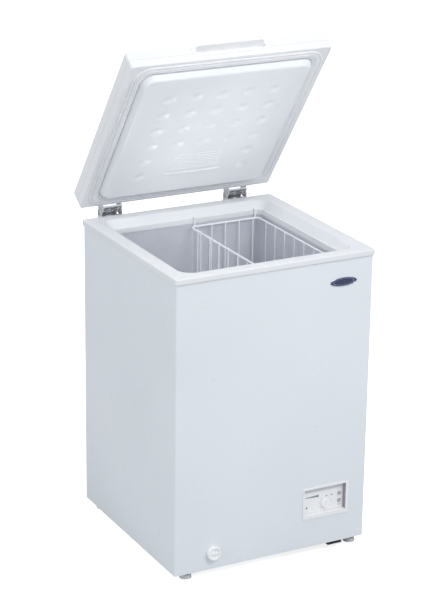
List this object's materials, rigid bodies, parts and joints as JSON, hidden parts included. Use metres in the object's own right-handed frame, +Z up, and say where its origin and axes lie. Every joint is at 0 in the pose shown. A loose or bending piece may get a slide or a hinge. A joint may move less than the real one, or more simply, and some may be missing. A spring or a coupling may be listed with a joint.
{
  "type": "chest freezer",
  "caption": "Small upright-proportioned chest freezer with a hinged lid open, wire basket, recessed thermostat panel, drain cap and levelling feet.",
  "frame": {"origin": "on the floor, under the middle of the whole object's box as it stands with its lid open", "axes": "+Z up, front faces -Y, +X to the right of someone facing the front"},
  "size_m": [0.5444, 0.5908, 1.2809],
  "materials": {
    "badge_navy": "dark blue enamel",
    "badge_silver": "bright plated plastic",
    "base_steel": "dark grey enamel",
    "basket_wire": "white coated wire",
    "black_plastic": "matt black moulding",
    "black_steel": "black enamel",
    "cabinet_steel": "white baked enamel, satin-gloss",
    "copper": "dull copper",
    "drain_white": "white moulding",
    "foam": "cream rigid foam",
    "foot_grey": "pale grey moulding",
    "foot_steel": "dark plated steel",
    "galvanised": "galvanised sheet",
    "gasket_white": "soft matt white seal",
    "hinge_steel": "white baked enamel",
    "knob_white": "white moulding",
    "lamp_grey": "grey translucent lens",
    "lid_white": "smooth white moulding",
    "liner_aluminium": "mill-finish sheet",
    "lining_white": "smooth white formed sheet",
    "panel_white": "white moulding, satin",
    "plate_white": "white fascia, satin",
    "rim_white": "smooth white extrusion",
    "rubber_black": "matt black rubber",
    "spring_steel": "dull oiled spring wire",
    "zinc_steel": "bright zinc plate"
  },
  "bodies": {
    "cabinet": {"back_panel": "galvanised", "badge_plate": "badge_navy", "badge_rim": "badge_silver", "base_bolts": "black_steel", "bottom_panel": "galvanised", "cabinet_screws": "zinc_steel", "capillary_tube": "copper", "compartment_lining": "galvanised", "compressor_base": "base_steel", "compressor_bolts": "zinc_steel", "compressor_can": "black_steel", "compressor_grommets": "rubber_black", "condenser_tube": "black_steel", "control_housing": "panel_white", "control_plate": "plate_white", "cord_gland": "black_plastic", "discharge_pipe": "copper", "drain_socket": "drain_white", "drain_tube": "drain_white", "evaporator_tube": "copper", "filter_drier": "copper", "foam_insulation": "foam", "foot_nuts": "zinc_steel", "hinge_casing_left": "hinge_steel", "hinge_casing_right": "hinge_steel", "hinge_pins": "zinc_steel", "hinge_springs_left": "spring_steel", "hinge_springs_right": "spring_steel", "indicator_lamps": "lamp_grey", "inner_liner": "liner_aluminium", "liquid_pipe": "copper", "outer_wrap": "cabinet_steel", "rear_feet": "foot_grey", "rear_grille": "panel_white", "relay_cover": "black_plastic", "rim_frame": "rim_white", "side_vent": "panel_white", "suction_pipe": "copper", "thermostat_body": "black_plastic", "thermostat_sensor": "copper"},
    "lid": {"hinge_arm_left": "hinge_steel", "hinge_arm_right": "hinge_steel", "lid_foam": "foam", "lid_frame": "lid_white", "lid_gasket": "gasket_white", "lid_handle": "lid_white", "lid_lining": "lining_white", "lid_screws": "zinc_steel", "lid_top": "lid_white"},
    "basket": {"basket_ring": "basket_wire", "basket_walls": "basket_wire", "basket_floor": "basket_wire"},
    "knob": {"thermostat_knob": "knob_white"},
    "drain_cap_body": {"drain_cap": "drain_white"},
    "drain_plug_body": {"drain_plug": "drain_white"},
    "foot_left": {"foot_pad_front_left": "foot_grey", "foot_stud_front_left": "foot_steel"},
    "foot_right": {"foot_pad_front_right": "foot_grey", "foot_stud_front_right": "foot_steel"}
  },
  "joints": [
    {"name": "lid_hinge", "type": "hinge", "parent": "cabinet", "child": "lid", "pos_m": [0, 0.26702, 0.7926], "axis": [-1, 0, 0], "range_deg": [-54.3, 25.7], "deforming": ["hinge_springs_left", "hinge_springs_right"]},
    {"name": "basket_lift", "type": "slide", "parent": "cabinet", "child": "basket", "axis": [0, 0, 1], "range_m": [0, 0.09]},
    {"name": "knob_turn", "type": "hinge", "parent": "cabinet", "child": "knob", "pos_m": [0.16, -0.28398, 0.131], "axis": [0, -1, 0], "range_deg": [-135, 135]},
    {"name": "drain_cap_turn", "type": "hinge", "parent": "cabinet", "child": "drain_cap_body", "pos_m": [-0.164, -0.28398, 0.068], "axis": [0, -1, 0], "range_deg": [0, 90]},
    {"name": "drain_plug_lift", "type": "slide", "parent": "cabinet", "child": "drain_plug_body", "axis": [0, 0, 1], "range_m": [0, 0.03]},
    {"name": "foot_left_turn", "type": "hinge", "parent": "cabinet", "child": "foot_left", "pos_m": [-0.223, -0.25198, 0], "axis": [0, 0, 1], "continuous": true},
    {"name": "foot_right_turn", "type": "hinge", "parent": "cabinet", "child": "foot_right", "pos_m": [0.247, -0.25198, 0], "axis": [0, 0, 1], "continuous": true}
  ]
}
